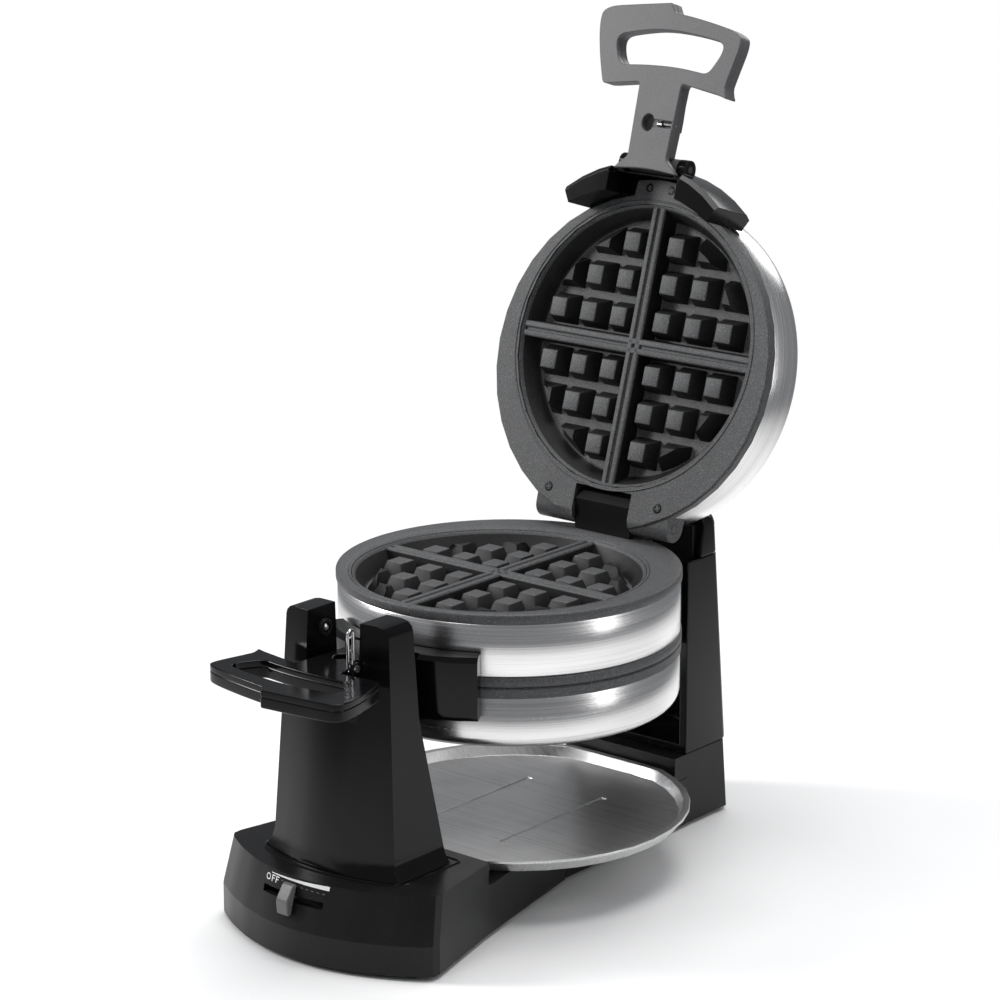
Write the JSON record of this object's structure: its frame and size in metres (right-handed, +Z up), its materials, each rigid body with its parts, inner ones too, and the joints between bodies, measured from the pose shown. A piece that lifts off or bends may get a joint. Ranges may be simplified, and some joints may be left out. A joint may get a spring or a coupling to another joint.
{
  "type": "flip waffle maker",
  "caption": "Round flip waffle maker on a base with two pillars, with a lid above and below a central unit, grips, a wire latch, a tray and a temperature slider.",
  "frame": {"origin": "on the ground under the middle of the whole object's box", "axes": "+Z up, the temperature slider faces -Y, +X is to the right seen from the slider's side"},
  "size_m": [0.2292, 0.4305, 0.553],
  "materials": {
    "black_moulding": "fine satin texture",
    "gloss_moulding": "gloss",
    "coated_plate": "dark non-stick coating",
    "brushed_steel": "fine brushed",
    "bright_pin": "polished",
    "element_tube": "dull heat-stained",
    "rubber": "matte",
    "bearing_metal": "turned"
  },
  "bodies": {
    "base": {"base_housing": "black_moulding", "base_bottom_cover": "black_moulding", "foot_front_left": "rubber", "foot_front_right": "rubber", "foot_rear_left": "rubber", "foot_rear_right": "rubber", "thermostat": "element_tube", "mains_inlet": "rubber", "front_pillar": "black_moulding", "rest_boss": "black_moulding", "rest_ball": "bright_pin", "rear_pillar": "gloss_moulding", "rear_pillar_cap": "gloss_moulding", "bearing_block": "black_moulding", "bearing_bush": "bearing_metal"},
    "slider": {"slider_knob": "brushed_steel"},
    "tray": {"drip_tray": "gloss_moulding"},
    "unit": {"middle_band": "brushed_steel", "hinge_block": "black_moulding", "rear_axle": "bright_pin", "upper_rim": "coated_plate", "lower_rim": "coated_plate", "unit_upper_grid": "coated_plate", "unit_lower_grid": "coated_plate", "unit_upper_element": "element_tube", "unit_lower_element": "element_tube", "upper_hinge_pin": "bright_pin", "lower_hinge_pin": "bright_pin"},
    "upper_lid": {"upper_lid_flange": "coated_plate", "upper_lid_shell": "brushed_steel", "upper_bracket": "gloss_moulding", "upper_handle_pin": "bright_pin", "upper_lid_grid": "coated_plate", "upper_lid_element": "element_tube"},
    "lower_lid": {"lower_lid_flange": "coated_plate", "lower_lid_shell": "brushed_steel", "lower_bracket": "gloss_moulding", "lower_handle_pin": "bright_pin", "lower_lid_grid": "coated_plate", "lower_lid_element": "element_tube"},
    "upper_grip": {"upper_handle": "black_moulding", "catch_pin": "bright_pin"},
    "lower_grip": {"lower_handle": "black_moulding", "latch_stud": "bright_pin"},
    "latch": {"latch_wire": "bright_pin"}
  },
  "joints": [
    {"name": "unit_flip", "type": "hinge", "parent": "base", "child": "unit", "pos_m": [0, 0.0216, 0.1837], "axis": [0, 1, 0], "range_deg": [-10, 10]},
    {"name": "upper_lid_hinge", "type": "hinge", "parent": "unit", "child": "upper_lid", "pos_m": [0, 0.1256, 0.2182], "axis": [1, 0, 0], "range_deg": [0, 107]},
    {"name": "lower_lid_hinge", "type": "hinge", "parent": "unit", "child": "lower_lid", "pos_m": [0, 0.1256, 0.1492], "axis": [1, 0, 0], "range_deg": [0, 2]},
    {"name": "upper_handle_fold", "type": "hinge", "parent": "upper_lid", "child": "upper_grip", "pos_m": [0, 0.17474, 0.44766], "axis": [-1, 0, 0], "range_deg": [0, 60]},
    {"name": "lower_handle_fold", "type": "hinge", "parent": "lower_lid", "child": "lower_grip", "pos_m": [0, -0.1082, 0.1693], "axis": [1, 0, 0], "range_deg": [0, 5]},
    {"name": "latch_fold", "type": "hinge", "parent": "lower_grip", "child": "latch", "pos_m": [0.0187, -0.1514, 0.1846], "axis": [-1, 0, 0], "range_deg": [-70, 0]},
    {"name": "temperature_slide", "type": "slide", "parent": "base", "child": "slider", "axis": [1, 0, 0], "range_m": [-0.0232, 0.0236]},
    {"name": "tray_slide", "type": "slide", "parent": "base", "child": "tray", "axis": [1, 0, 0], "range_m": [0, 0.16]}
  ]
}
